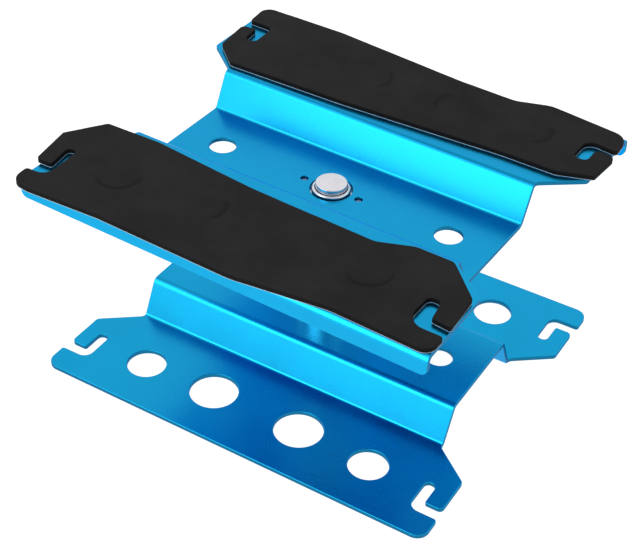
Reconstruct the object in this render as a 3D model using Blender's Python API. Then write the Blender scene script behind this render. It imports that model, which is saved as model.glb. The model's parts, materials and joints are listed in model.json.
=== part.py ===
"""Bench work stand: a folded base plate, a telescopic post and a folded top plate that turns and lifts.

Frame: +X along the long side, +Z up, origin at the middle of the base on the bench. The stand is shown raised.
The turning pieces hang from an empty on the post's axis, which is turned by the swivel angle at rest.
"""
import math

import bmesh
import bpy
from mathutils import Matrix, Vector

MM = 0.001
GAP = 0.3 * MM                      # clearance between pieces that touch

# Driving dimensions of the two folded plates
SHEET = 2.0 * MM                    # sheet thickness
BEND_RADIUS = 2.5 * MM              # bend radius at the middle of the sheet
RISER_ANGLE = math.radians(64.1)    # slope of the folds beside the web
HALF_LENGTH = 93.1 * MM
WEB_HALF_LENGTH = 76.0 * MM
BASE_HALF_DEPTH = 81.4 * MM
BASE_RISE = 16.0 * MM               # web above flange
BASE_WEB_HALF = 23.1 * MM           # where the web and riser centre lines meet
TOP_RISE = 15.67 * MM               # flange above web
TOP_WEB_HALF = 23.5 * MM
TOP_HALF_DEPTH = 85.0 * MM          # outer face of the turned-down lip
LIP_DROP = 9.0 * MM
SLOT_WIDTH = 4.7 * MM                # leg of a hooked slot
SLOT_MOUTH = 5.5 * MM
FLAT_CORNER = 5.5 * MM
LIP_CORNER = 3.0 * MM
HOLE_INNER = (21.3 * MM, 56.3 * MM, 10.6 * MM)      # x, y, radius of the lightening holes
HOLE_OUTER = (55.7 * MM, 58.0 * MM, 8.6 * MM)
WEB_HOLE_RADIUS = 5.9 * MM
BASE_WEB_HOLE_X = 56.6 * MM
TOP_WEB_HOLE_X = 55.5 * MM

# Heights
BASE_WEB_TOP = SHEET + BASE_RISE
PLATE_SPACING = 65.26 * MM          # base web top to top web top, raised
TOP_WEB_TOP = BASE_WEB_TOP + PLATE_SPACING
TOP_WEB_UNDER = TOP_WEB_TOP - SHEET
TOP_FLANGE_TOP = TOP_WEB_TOP + TOP_RISE
BUTTON_TRAVEL = 2.0 * MM
REST_SWIVEL = math.radians(-1.89)

# Pads
FILM_THICKNESS = 0.3 * MM
FILM_BOTTOM = TOP_FLANGE_TOP + GAP
PAD_BOTTOM = FILM_BOTTOM + FILM_THICKNESS + GAP
PAD_TOP = TOP_WEB_TOP + 18.15 * MM

# Post
POST_RADIUS = 12.5 * MM
NECK_RADIUS = 11.5 * MM             # threaded end that passes the base web
POST_BORE = 8.8 * MM
POST_TOP = 50.0 * MM
NECK_BOTTOM = 9.5 * MM
BUSH_DEPTH = 8.0 * MM
BUSH_RADIUS = 10.9 * MM
BUSH_LIP = 1.2 * MM
INNER_RADIUS = 8.5 * MM
INNER_BORE = 6.3 * MM
INNER_BORE_LOW = 7.2 * MM
INNER_BOTTOM = 31.0 * MM
AXLE_SHOULDER = 64.0 * MM           # step in the inner tube that the axle's washer bears on
HEAD_RADIUS = 12.3 * MM
HEAD_THICKNESS = 2.5 * MM
HUB_RADIUS = 17.0 * MM
HUB_THICKNESS = 2.7 * MM
HUB_BOTTOM = TOP_WEB_UNDER - GAP - HUB_THICKNESS
THRUST_TOP = HUB_BOTTOM - GAP
THRUST_THICKNESS = 1.0 * MM
INNER_TOP = THRUST_TOP - THRUST_THICKNESS - GAP
AXLE_RADIUS = 6.0 * MM
AXLE_BOTTOM = 59.5 * MM
BEZEL_RADIUS = 8.2 * MM
BEZEL_TOP = TOP_WEB_TOP + 1.0 * MM
BEZEL_HOLE = 9.0 * MM               # hole of the top web round the bezel
SCREW_X = 13.3 * MM
SCREW_RADIUS = 1.35 * MM
SCREW_HEAD_RADIUS = 2.7 * MM

# Button, rod and ball lock
BUTTON_RADIUS = 6.7 * MM
BUTTON_TOP = TOP_WEB_TOP + 3.25 * MM
BUTTON_BOTTOM = BUTTON_TOP - 4.6 * MM
ROD_RADIUS = 2.6 * MM
ROD_BOTTOM = 30.4 * MM
BALL_RADIUS = 2.0 * MM
BALL_ORBIT = 8.0 * MM               # centre of a ball from the axis, locked
BALL_HEIGHT = 38.7 * MM
CAM_SLOPE = 0.3                     # inward travel of a ball per travel of the button
SPRING_RADIUS = 3.85 * MM
SPRING_WIRE = 0.35 * MM
SPRING_TURNS = 6
SPRING_BOTTOM = 68.3 * MM

ROUND_SEGMENTS = 32


# ---------------------------------------------------------------- scene and materials

def clear_scene():
    for item in list(bpy.data.objects):
        bpy.data.objects.remove(item, do_unlink=True)


def material(name, colour, roughness, metallic):
    made = bpy.data.materials.get(name) or bpy.data.materials.new(name)
    made.use_nodes = True
    shader = made.node_tree.nodes["Principled BSDF"]
    shader.inputs["Base Color"].default_value = (*colour, 1.0)
    shader.inputs["Roughness"].default_value = roughness
    shader.inputs["Metallic"].default_value = metallic
    return made


def blue_anodised(name):
    return material(name + "_anodised", (0.0, 0.29, 0.52), 0.32, 1.0)


def bright_steel(name):
    return material(name + "_steel", (0.72, 0.73, 0.76), 0.22, 1.0)


def black_foam(name):
    return material(name + "_foam", (0.032, 0.03, 0.034), 0.9, 0.0)


def white_film(name):
    return material(name + "_film", (0.6, 0.7, 0.76), 0.5, 0.0)


def pale_plastic(name):
    return material(name + "_plastic", (0.78, 0.76, 0.7), 0.45, 0.0)


def brass(name):
    return material(name + "_brass", (0.72, 0.52, 0.24), 0.3, 1.0)


def finish(name, mesh, look, parent=None, smooth=True):
    """Make the named object of a mesh, in its own material, and hang it from parent."""
    made = bpy.data.objects.new(name, mesh)
    bpy.context.collection.objects.link(made)
    mesh.materials.append(look(name))
    if smooth:
        mesh.shade_smooth()
        mesh.set_sharp_from_angle(angle=math.radians(35))
    made.parent = parent
    return made


def mesh_from(bm, name):
    bmesh.ops.recalc_face_normals(bm, faces=bm.faces)
    mesh = bpy.data.meshes.new(name)
    bm.to_mesh(mesh)
    bm.free()
    return mesh


# ---------------------------------------------------------------- outlines

def rounded(corners, step=math.radians(18)):
    """Points of a closed outline whose corners (x, y, radius) are rounded by arcs."""
    points = []
    count = len(corners)
    for i, (x, y, radius) in enumerate(corners):
        here = Vector((x, y))
        before = (Vector(corners[i - 1][:2]) - here).normalized()
        after = (Vector(corners[(i + 1) % count][:2]) - here).normalized()
        opening = before.angle(after, math.pi)
        if radius <= 0 or opening > math.radians(178):
            points.append(here)
            continue
        reach = radius / math.tan(opening / 2)
        centre = here + (before + after).normalized() * (radius / math.sin(opening / 2))
        start = here + before * reach - centre
        sweep = math.pi - opening
        sense = 1 if before.cross(after) < 0 else -1
        parts = max(2, math.ceil(sweep / step))
        for part in range(parts + 1):
            turned = Matrix.Rotation(sense * sweep * part / parts, 2) @ start
            points.append(centre + turned)
    return points


def circle(x, y, radius, segments=ROUND_SEGMENTS):
    angles = (2 * math.pi * i / segments for i in range(segments))
    return [Vector((x + radius * math.cos(a), y + radius * math.sin(a))) for a in angles]


def mirrored(quarter):
    """The whole outline of a plate from its corners in the quarter with positive x and y."""
    right = quarter + [(x, -y, r) for x, y, r in reversed(quarter)]
    return right + [(-x, y, r) for x, y, r in reversed(right)]


def plate_quarter(edge, slotted):
    """Corners (x, y, radius) of a plate's plan, from the long edge at y = edge down to the web's end."""
    end = HALF_LENGTH - 0.6 * MM
    slot_in = 80.0 * MM
    slot_out = slot_in + SLOT_WIDTH
    hook_low = 53.0 * MM
    hook_top = 63.9 * MM
    mouth_top = hook_top + SLOT_MOUTH
    slot = [
        (HALF_LENGTH, mouth_top, 1.2 * MM),
        (slot_in, mouth_top, 4.3 * MM),
        (slot_in, hook_low, 2.3 * MM),
        (slot_out, hook_low, 2.3 * MM),
        (slot_out, hook_top, 1.0 * MM),
        (end, hook_top, 2.2 * MM),
    ]
    corner = [(HALF_LENGTH, edge, FLAT_CORNER if slotted else LIP_CORNER)]
    neck = [(end, 45.8 * MM, 2.5 * MM), (WEB_HALF_LENGTH, 32.8 * MM, 3.0 * MM)]
    return corner + (slot if slotted else []) + neck


def filled(outlines, bottom, top, name):
    """A closed mesh of the area between the first outline and the others, from bottom to top."""
    curve = bpy.data.curves.new(name, "CURVE")
    curve.dimensions = "2D"
    curve.fill_mode = "BOTH"
    curve.extrude = (top - bottom) / 2
    for outline in outlines:
        spline = curve.splines.new("POLY")
        spline.points.add(len(outline) - 1)
        for point, place in zip(spline.points, outline):
            point.co = (place.x, place.y, 0, 1)
        spline.use_cyclic_u = True
    holder = bpy.data.objects.new(name, curve)
    bm = bmesh.new()
    bm.from_mesh(holder.to_mesh())
    holder.to_mesh_clear()
    bpy.data.objects.remove(holder)
    bpy.data.curves.remove(curve)
    bmesh.ops.remove_doubles(bm, verts=bm.verts, dist=1e-6)
    bmesh.ops.translate(bm, verts=bm.verts, vec=(0, 0, (top + bottom) / 2))
    return bm


# ---------------------------------------------------------------- folded plates

class Fold:
    """Half a folded section: straight runs joined by bends, measured along the middle of the sheet."""

    def __init__(self, corners, radius=BEND_RADIUS, parts=4):
        self.pieces = []
        self.lines = []
        here = Vector(corners[0])
        along = 0.0
        for i in range(1, len(corners) - 1):
            corner = Vector(corners[i])
            into = (corner - Vector(corners[i - 1])).normalized()
            out = (Vector(corners[i + 1]) - corner).normalized()
            turn = math.atan2(into.cross(out), into.dot(out))
            reach = radius * math.tan(abs(turn) / 2)
            start = corner - into * reach
            run = (start - here).length
            self.pieces.append((along, run, here, into, 0.0))
            along += run
            arc = radius * abs(turn)
            self.pieces.append((along, arc, start, into, turn))
            self.lines += [along + arc * part / parts for part in range(parts + 1)]
            along += arc
            here = corner + out * reach
        into = (Vector(corners[-1]) - here).normalized()
        run = (Vector(corners[-1]) - here).length
        self.pieces.append((along, run, here, into, 0.0))
        self.length = along + run

    def along_at(self, y):
        """Distance along the flat pattern of the point of the flange that lies at y once folded."""
        flange = self.pieces[4]
        return flange[0] + (y - flange[2].x)

    def place(self, along, lift):
        """Folded position (y, z) of a point at a distance along the pattern, lifted off its middle."""
        side = 1 if along >= 0 else -1
        piece = [p for p in self.pieces if p[0] <= abs(along) + 1e-9][-1]
        start, run, here, into, turn = piece
        rest = abs(along) - start
        if turn:
            angle = turn * rest / run
            radius = run / abs(turn)
            sense = 1 if turn > 0 else -1
            centre = here + Vector((-into.y, into.x)) * radius * sense
            spoke = Matrix.Rotation(angle, 2) @ (here - centre)
            heading = Matrix.Rotation(angle, 2) @ into
            spot = centre + spoke
        else:
            heading = into
            spot = here + into * rest
        spot = spot + Vector((-heading.y, heading.x)) * lift
        return side * spot.x, spot.y


def folded_plate(name, fold, quarter, holes):
    """Cut the flat pattern, score it along the bends and fold it up."""
    outline = rounded(mirrored(quarter))
    bm = filled([outline] + holes, -SHEET / 2, SHEET / 2, name)
    for line in fold.lines:
        for side in (1, -1):
            everything = bm.verts[:] + bm.edges[:] + bm.faces[:]
            bmesh.ops.bisect_plane(bm, geom=everything, dist=1e-7, plane_co=(0, side * line, 0),
                                   plane_no=(0, 1, 0))
    for vert in bm.verts:
        y, z = fold.place(vert.co.y, vert.co.z)
        vert.co = (vert.co.x, y, z)
    return mesh_from(bm, name)


def pattern_corners(fold, corners):
    """Corners given in the folded plan, moved out to their place in the flat pattern."""
    return [(x, fold.along_at(y), r) for x, y, r in corners]


def flange_holes(fold):
    holes = []
    for x, y, radius in (HOLE_INNER, HOLE_OUTER):
        for side_x in (1, -1):
            for side_y in (1, -1):
                holes.append(circle(side_x * x, side_y * fold.along_at(y), radius))
    return holes


def riser_run(rise):
    return rise / math.tan(RISER_ANGLE)


def base_plate():
    middle = SHEET / 2
    foot = BASE_WEB_HALF + riser_run(BASE_RISE)
    fold = Fold([(0, BASE_WEB_TOP - middle), (BASE_WEB_HALF, BASE_WEB_TOP - middle),
                 (foot, middle), (BASE_HALF_DEPTH, middle)])
    holes = flange_holes(fold)
    holes += [circle(side * BASE_WEB_HOLE_X, 0, WEB_HOLE_RADIUS, 24) for side in (1, -1)]
    holes.append(circle(0, 0, NECK_RADIUS + GAP))
    quarter = pattern_corners(fold, plate_quarter(BASE_HALF_DEPTH, slotted=True))
    finish("base_plate", folded_plate("base_plate", fold, quarter, holes), blue_anodised)


def top_plate(turntable):
    middle = SHEET / 2
    shoulder = TOP_WEB_HALF + riser_run(TOP_RISE)
    lip = TOP_HALF_DEPTH - middle
    fold = Fold([(0, TOP_WEB_TOP - middle), (TOP_WEB_HALF, TOP_WEB_TOP - middle),
                 (shoulder, TOP_FLANGE_TOP - middle), (lip, TOP_FLANGE_TOP - middle),
                 (lip, TOP_FLANGE_TOP - LIP_DROP)])
    holes = flange_holes(fold)
    holes += [circle(side * TOP_WEB_HOLE_X, 0, WEB_HOLE_RADIUS, 24) for side in (1, -1)]
    holes += [circle(side * SCREW_X, 0, SCREW_RADIUS + GAP, 12) for side in (1, -1)]
    holes.append(circle(0, 0, BEZEL_HOLE))
    quarter = pattern_corners(fold, plate_quarter(TOP_HALF_DEPTH, slotted=False))
    x, _, radius = quarter[0]
    quarter[0] = (x, fold.length, radius)
    finish("top_plate", folded_plate("top_plate", fold, quarter, holes), blue_anodised, turntable)


# ---------------------------------------------------------------- pads

def front_pad_outline():
    """The front pad was cut and laid by hand: it hangs over the lip on the left and is flush on the right."""
    return [
        (-98.3, -52.8, 1.0), (-87.6, -36.4, 2.0), (-61.0, -35.4, 30.0), (-12.0, -40.0, 30.0),
        (45.0, -41.3, 8.0), (59.5, -35.2, 8.0), (75.8, -35.1, 4.0), (91.4, -50.2, 1.5),
        (92.9, -69.0, 1.0), (84.7, -68.2, 1.0), (83.1, -58.0, 2.2), (78.0, -58.0, 2.4),
        (77.9, -74.8, 7.0), (93.2, -74.6, 1.2), (93.2, -84.4, 5.0), (52.0, -83.6, 20.0),
        (12.0, -89.6, 30.0), (-50.0, -88.8, 40.0), (-84.0, -91.0, 10.0), (-92.8, -90.0, 6.0),
        (-93.3, -80.4, 1.5), (-83.3, -80.1, 5.0), (-84.5, -60.0, 2.0), (-88.9, -60.2, 2.0),
        (-86.9, -72.8, 1.0), (-94.7, -73.1, 2.0),
    ]


def rear_pad_outline():
    return [
        (94.6, 46.9, 1.5), (80.0, 41.2, 6.0), (55.0, 41.0, 20.0), (-19.0, 35.8, 30.0),
        (-76.2, 34.4, 3.0), (-89.0, 45.8, 2.0), (-91.2, 64.8, 2.5), (-84.0, 65.6, 1.0),
        (-83.2, 55.4, 2.2), (-77.8, 55.4, 2.2), (-78.2, 70.7, 3.5), (-91.0, 71.0, 1.5),
        (-92.6, 85.8, 5.0), (-50.0, 86.3, 30.0), (16.0, 80.5, 40.0), (42.5, 80.1, 10.0),
        (57.0, 85.3, 10.0), (94.0, 81.5, 7.0), (94.6, 68.3, 1.5), (81.0, 69.8, 4.5),
        (81.0, 55.3, 2.6), (87.0, 55.3, 2.4), (86.9, 64.7, 2.0), (95.7, 64.4, 2.5),
    ]


def pad_and_film(side, corners, turntable):
    outline = rounded([(x * MM, y * MM, r * MM) for x, y, r in corners], math.radians(24))
    film = filled([outline], FILM_BOTTOM, FILM_BOTTOM + FILM_THICKNESS, "film")
    finish("adhesive_film_" + side, mesh_from(film, "film"), white_film, turntable, smooth=False)
    pad = filled([outline], PAD_BOTTOM, PAD_TOP, "pad")
    finish("foam_pad_" + side, mesh_from(pad, "pad"), black_foam, turntable, smooth=False)


# ---------------------------------------------------------------- turned pieces

def turned(name, profile, look, parent=None, segments=ROUND_SEGMENTS):
    """Spin a closed profile of (radius, height) about the post's axis."""
    bm = bmesh.new()
    ring = [bm.verts.new((r, 0, z)) for r, z in profile]
    edges = [bm.edges.new((ring[i - 1], ring[i])) for i in range(len(ring))]
    bmesh.ops.spin(bm, geom=ring + edges, cent=(0, 0, 0), axis=(0, 0, 1), dvec=(0, 0, 0),
                   angle=2 * math.pi, steps=segments, use_merge=True)
    bmesh.ops.remove_doubles(bm, verts=bm.verts, dist=1e-6)
    bmesh.ops.dissolve_degenerate(bm, edges=bm.edges, dist=1e-7)
    return finish(name, mesh_from(bm, name), look, parent)


def ring(name, inner, outer, bottom, top, look, parent=None, segments=ROUND_SEGMENTS):
    profile = [(inner, bottom), (outer, bottom), (outer, top), (inner, top)]
    return turned(name, profile, look, parent, segments)


def cutter(name, mesh, target):
    """Subtract a mesh from a target object with a Boolean modifier."""
    tool = bpy.data.objects.new(name, mesh)
    bpy.context.collection.objects.link(tool)
    tool.hide_render = True
    tool.display_type = "WIRE"
    tool.parent = target.parent
    cut = target.modifiers.new(name, "BOOLEAN")
    cut.operation = "DIFFERENCE"
    cut.solver = "EXACT"
    cut.object = tool


def box_mesh(name, low, high):
    bm = bmesh.new()
    size = Vector(high) - Vector(low)
    middle = (Vector(high) + Vector(low)) / 2
    bmesh.ops.create_cube(bm, size=1, matrix=Matrix.Translation(middle) @ Matrix.Diagonal((*size, 1)))
    return mesh_from(bm, name)


def rod_mesh(name, radius, start, end, segments=16):
    """A round bar along X from start to end."""
    bm = bmesh.new()
    run = Vector(end) - Vector(start)
    turn = run.to_track_quat("Z", "Y").to_matrix().to_4x4()
    place = Matrix.Translation((Vector(start) + Vector(end)) / 2) @ turn
    bmesh.ops.create_cone(bm, cap_ends=True, segments=segments, radius1=radius, radius2=radius,
                          depth=run.length, matrix=place)
    return mesh_from(bm, name)


# ---------------------------------------------------------------- post, fixed to the base

def outer_tube():
    seat = BASE_WEB_TOP + GAP
    mouth = BUSH_RADIUS + GAP
    tube = turned("outer_tube", [
        (POST_BORE, NECK_BOTTOM), (NECK_RADIUS - 0.5 * MM, NECK_BOTTOM),
        (NECK_RADIUS, NECK_BOTTOM + 0.5 * MM), (NECK_RADIUS, seat), (POST_RADIUS, seat),
        (POST_RADIUS, POST_TOP - 0.6 * MM), (POST_RADIUS - 0.6 * MM, POST_TOP), (mouth, POST_TOP),
        (mouth, POST_TOP - BUSH_DEPTH), (POST_BORE, POST_TOP - BUSH_DEPTH)], bright_steel)
    groove = BALL_RADIUS + 0.2 * MM
    reach = BALL_ORBIT + BALL_RADIUS + GAP
    top = BALL_HEIGHT + BALL_RADIUS + 0.5 * MM
    low = (-reach, -groove, NECK_BOTTOM - 1 * MM)
    cutter("ball_grooves", box_mesh("ball_grooves", low, (reach, groove, top)), tube)


def tube_fixings():
    thread = NECK_RADIUS + GAP
    under = BASE_WEB_TOP - SHEET - GAP
    washer = 1.4 * MM
    ring("tube_washer", thread, 16.0 * MM, under - washer, under, bright_steel)
    nut_top = under - washer - GAP
    nut_bottom = nut_top - 4.3 * MM
    flats = 32.0 * MM
    corner = flats / math.sqrt(3)
    hexagon = circle(0, 0, corner, 6)
    nut = filled([hexagon, circle(0, 0, thread)], nut_bottom, nut_top, "tube_nut")
    finish("tube_nut", mesh_from(nut, "tube_nut"), bright_steel, smooth=False)


def guide_bush():
    bottom = POST_TOP - BUSH_DEPTH + GAP
    lip = POST_TOP + GAP
    turned("guide_bush", [
        (POST_BORE, bottom), (BUSH_RADIUS, bottom), (BUSH_RADIUS, lip), (12.0 * MM, lip),
        (12.0 * MM, lip + BUSH_LIP), (POST_BORE + 0.5 * MM, lip + BUSH_LIP),
        (POST_BORE, lip + BUSH_LIP - 0.5 * MM)], pale_plastic)


# ---------------------------------------------------------------- carriage, which slides in the post

def inner_tube(carriage):
    under_head = INNER_TOP - HEAD_THICKNESS
    tube = turned("inner_tube", [
        (INNER_BORE_LOW, INNER_BOTTOM), (INNER_RADIUS - 0.4 * MM, INNER_BOTTOM),
        (INNER_RADIUS, INNER_BOTTOM + 0.4 * MM), (INNER_RADIUS, under_head), (HEAD_RADIUS, under_head),
        (HEAD_RADIUS, INNER_TOP), (INNER_BORE, INNER_TOP), (INNER_BORE, AXLE_SHOULDER),
        (INNER_BORE_LOW, AXLE_SHOULDER)], bright_steel, carriage)
    hole = BALL_RADIUS + 0.2 * MM
    start = (-HEAD_RADIUS, 0, BALL_HEIGHT)
    end = (HEAD_RADIUS, 0, BALL_HEIGHT)
    cutter("ball_holes", rod_mesh("ball_holes", hole, start, end), tube)


def rod_guide(carriage):
    clip_thickness = 0.8 * MM
    clip_bottom = INNER_BOTTOM + 0.3 * MM
    outer = INNER_BORE_LOW - GAP
    inner = ROD_RADIUS + GAP
    ring("rod_guide_clip", outer - 1.6 * MM, outer, clip_bottom, clip_bottom + clip_thickness,
         bright_steel, carriage)
    bottom = clip_bottom + clip_thickness + GAP
    ring("rod_guide", inner, outer, bottom, bottom + 1.4 * MM, pale_plastic, carriage)


def thrust_washer(carriage):
    ring("thrust_washer", AXLE_RADIUS + GAP, HEAD_RADIUS - 0.6 * MM, THRUST_TOP - THRUST_THICKNESS,
         THRUST_TOP, brass, carriage)


def lock_balls(carriage):
    for side, sign in (("left", -1), ("right", 1)):
        bm = bmesh.new()
        bmesh.ops.create_uvsphere(bm, u_segments=16, v_segments=10, radius=BALL_RADIUS)
        ball = finish("lock_ball_" + side, mesh_from(bm, "ball"), bright_steel, carriage)
        ball.location = (sign * BALL_ORBIT, 0, BALL_HEIGHT)


# ---------------------------------------------------------------- turntable

def turntable_spindle(turntable):
    pocket = BUTTON_RADIUS + GAP
    pocket_floor = BUTTON_BOTTOM - BUTTON_TRAVEL - 0.5 * MM
    spring_bore = SPRING_RADIUS + SPRING_WIRE + GAP
    spring_floor = SPRING_BOTTOM - GAP
    rod_bore = ROD_RADIUS + GAP
    groove = AXLE_SHOULDER - GAP - 1.0 * MM - GAP
    spindle = turned("turntable_spindle", [
        (rod_bore, AXLE_BOTTOM), (AXLE_RADIUS - 0.5 * MM, AXLE_BOTTOM),
        (AXLE_RADIUS, AXLE_BOTTOM + 0.5 * MM), (AXLE_RADIUS, groove - 1.2 * MM),
        (AXLE_RADIUS - 0.8 * MM, groove - 1.2 * MM), (AXLE_RADIUS - 0.8 * MM, groove),
        (AXLE_RADIUS, groove), (AXLE_RADIUS, HUB_BOTTOM), (HUB_RADIUS, HUB_BOTTOM),
        (HUB_RADIUS, HUB_BOTTOM + HUB_THICKNESS), (BEZEL_RADIUS, HUB_BOTTOM + HUB_THICKNESS),
        (BEZEL_RADIUS, BEZEL_TOP - 0.3 * MM), (BEZEL_RADIUS - 0.3 * MM, BEZEL_TOP),
        (pocket, BEZEL_TOP), (pocket, pocket_floor), (spring_bore, pocket_floor),
        (spring_bore, spring_floor), (rod_bore, spring_floor)], bright_steel, turntable)
    for side, sign in (("left", -1), ("right", 1)):
        bm = bmesh.new()
        bore = SCREW_RADIUS + GAP
        sink = SCREW_HEAD_RADIUS + GAP
        for radius_low, radius_high, low, high in (
                (bore, bore, HUB_BOTTOM - 1 * MM, TOP_WEB_UNDER),
                (sink + 0.5 * MM, bore, HUB_BOTTOM - 0.5 * MM, HUB_BOTTOM + sink - bore)):
            place = Matrix.Translation((sign * SCREW_X, 0, (low + high) / 2))
            bmesh.ops.create_cone(bm, cap_ends=True, segments=12, radius1=radius_low,
                                  radius2=radius_high, depth=high - low, matrix=place)
        name = "hub_hole_" + side
        cutter(name, mesh_from(bm, name), spindle)
        spindle.modifiers[name].use_self = True


def hub_screws(turntable):
    """Countersunk screws from below, which end just under the web's upper face."""
    low = HUB_BOTTOM + 0.1 * MM
    cone_top = low + SCREW_HEAD_RADIUS - SCREW_RADIUS
    tip = TOP_WEB_TOP - 1.1 * MM
    for side, sign in (("left", -1), ("right", 1)):
        screw = turned("hub_screw_" + side, [
            (0, low + 0.9 * MM), (0.75 * MM, low + 0.9 * MM), (0.75 * MM, low),
            (SCREW_HEAD_RADIUS, low), (SCREW_RADIUS, cone_top), (SCREW_RADIUS, tip - 0.3 * MM),
            (SCREW_RADIUS - 0.3 * MM, tip), (0, tip)], bright_steel, turntable, 12)
        screw.location.x = sign * SCREW_X


def axle_retention(turntable):
    washer_top = AXLE_SHOULDER - GAP
    washer_bottom = washer_top - 1.0 * MM
    bore_clear = INNER_BORE_LOW - GAP
    ring("spindle_washer", AXLE_RADIUS + 0.2 * MM, bore_clear, washer_bottom, washer_top, brass,
         turntable)
    clip_top = washer_bottom - GAP
    clip_bottom = clip_top - 0.9 * MM
    inner = AXLE_RADIUS - 0.5 * MM
    outline = []
    opening = math.radians(28)
    segments = 22
    for radius, order in ((bore_clear - 0.2 * MM, range(segments + 1)),
                          (inner, range(segments, -1, -1))):
        for i in order:
            angle = opening + (2 * math.pi - 2 * opening) * i / segments
            outline.append(Vector((radius * math.cos(angle), radius * math.sin(angle))))
    clip = filled([outline], clip_bottom, clip_top, "circlip")
    finish("spindle_circlip", mesh_from(clip, "circlip"), bright_steel, turntable)


# ---------------------------------------------------------------- button and rod

def button_cap(turntable):
    waist = BUTTON_RADIUS - 0.5 * MM
    turned("button_cap", [
        (0, BUTTON_BOTTOM + 2.6 * MM), (ROD_RADIUS + GAP, BUTTON_BOTTOM + 2.6 * MM),
        (ROD_RADIUS + GAP, BUTTON_BOTTOM), (BUTTON_RADIUS, BUTTON_BOTTOM),
        (BUTTON_RADIUS, BUTTON_TOP - 1.9 * MM), (waist, BUTTON_TOP - 1.6 * MM),
        (waist, BUTTON_TOP - 1.3 * MM), (BUTTON_RADIUS, BUTTON_TOP - 1.0 * MM),
        (BUTTON_RADIUS, BUTTON_TOP - 0.35 * MM), (BUTTON_RADIUS - 0.35 * MM, BUTTON_TOP),
        (0, BUTTON_TOP)], bright_steel, turntable)


def plunger_rod(turntable):
    """A rod with a cam that widens downwards and holds the balls out until the button is pressed."""
    middle = BALL_ORBIT - BALL_RADIUS - GAP
    below = 2.0 * MM
    above = BUTTON_TRAVEL + 2.5 * MM
    cam_low = BALL_HEIGHT - below
    cam_high = BALL_HEIGHT + above
    turned("plunger_rod", [
        (0, ROD_BOTTOM), (ROD_RADIUS - 0.4 * MM, ROD_BOTTOM), (ROD_RADIUS, ROD_BOTTOM + 0.4 * MM),
        (ROD_RADIUS, cam_low - 0.2 * MM), (middle + below * CAM_SLOPE, cam_low - 0.2 * MM),
        (middle + below * CAM_SLOPE, cam_low), (middle - above * CAM_SLOPE, cam_high),
        (ROD_RADIUS, cam_high + 1.0 * MM), (ROD_RADIUS, BUTTON_BOTTOM + 2.3 * MM),
        (0, BUTTON_BOTTOM + 2.3 * MM)], bright_steel, turntable, 24)


def return_spring(turntable):
    """Coil between the floor of the spindle's spring bore and the button."""
    sides = 6
    per_turn = 14
    steps = SPRING_TURNS * per_turn
    low = SPRING_BOTTOM + SPRING_WIRE
    high = BUTTON_BOTTOM - GAP - SPRING_WIRE
    bm = bmesh.new()
    rings = []
    for i in range(steps + 1):
        angle = 2 * math.pi * i / per_turn
        height = low + (high - low) * i / steps
        outward = Vector((math.cos(angle), math.sin(angle), 0))
        loop = []
        for j in range(sides):
            lean = 2 * math.pi * j / sides
            reach = SPRING_RADIUS + SPRING_WIRE * math.cos(lean)
            loop.append(bm.verts.new(outward * reach + Vector((0, 0, height + SPRING_WIRE * math.sin(lean)))))
        rings.append(loop)
    for lower, upper in zip(rings, rings[1:]):
        for j in range(sides):
            k = (j + 1) % sides
            bm.faces.new((lower[j], lower[k], upper[k], upper[j]))
    bm.faces.new(rings[0])
    bm.faces.new(rings[-1])
    finish("return_spring", mesh_from(bm, "return_spring"), bright_steel, turntable)


# ---------------------------------------------------------------- assembly

def axis_empty(name, swivel):
    made = bpy.data.objects.new(name, None)
    bpy.context.collection.objects.link(made)
    made.rotation_euler.z = swivel
    return made


def main():
    clear_scene()
    carriage = axis_empty("carriage_axis", 0)
    turntable = axis_empty("turntable_axis", REST_SWIVEL)
    base_plate()
    outer_tube()
    tube_fixings()
    guide_bush()
    inner_tube(carriage)
    rod_guide(carriage)
    thrust_washer(carriage)
    lock_balls(carriage)
    turntable_spindle(turntable)
    hub_screws(turntable)
    axle_retention(turntable)
    top_plate(turntable)
    pad_and_film("front", front_pad_outline(), turntable)
    pad_and_film("rear", rear_pad_outline(), turntable)
    button_cap(turntable)
    plunger_rod(turntable)
    return_spring(turntable)


main()
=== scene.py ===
"""Looks of the work stand: blue anodised folded plates, black foam pads, turned post and button."""
import json
import math

import bmesh
import bpy
from mathutils import Matrix, Vector, noise


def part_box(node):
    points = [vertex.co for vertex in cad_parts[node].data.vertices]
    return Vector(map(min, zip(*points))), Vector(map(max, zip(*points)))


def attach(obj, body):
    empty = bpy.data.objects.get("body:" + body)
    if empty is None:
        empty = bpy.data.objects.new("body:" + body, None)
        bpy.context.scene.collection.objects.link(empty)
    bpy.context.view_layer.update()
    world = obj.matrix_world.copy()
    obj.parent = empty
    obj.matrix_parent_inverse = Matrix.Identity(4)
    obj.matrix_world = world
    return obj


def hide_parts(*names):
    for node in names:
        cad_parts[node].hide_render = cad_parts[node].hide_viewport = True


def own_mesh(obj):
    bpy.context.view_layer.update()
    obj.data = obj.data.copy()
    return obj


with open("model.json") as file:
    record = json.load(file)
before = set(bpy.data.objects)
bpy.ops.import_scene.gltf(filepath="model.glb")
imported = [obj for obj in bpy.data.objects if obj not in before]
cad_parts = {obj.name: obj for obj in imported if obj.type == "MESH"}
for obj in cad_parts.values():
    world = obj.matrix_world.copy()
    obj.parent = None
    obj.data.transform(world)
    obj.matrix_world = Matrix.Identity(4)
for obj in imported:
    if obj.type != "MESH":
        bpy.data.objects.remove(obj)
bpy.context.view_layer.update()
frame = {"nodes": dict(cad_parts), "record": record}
MM = 0.001

# ---------------------------------------------------------------- sizes, from the frame

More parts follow.
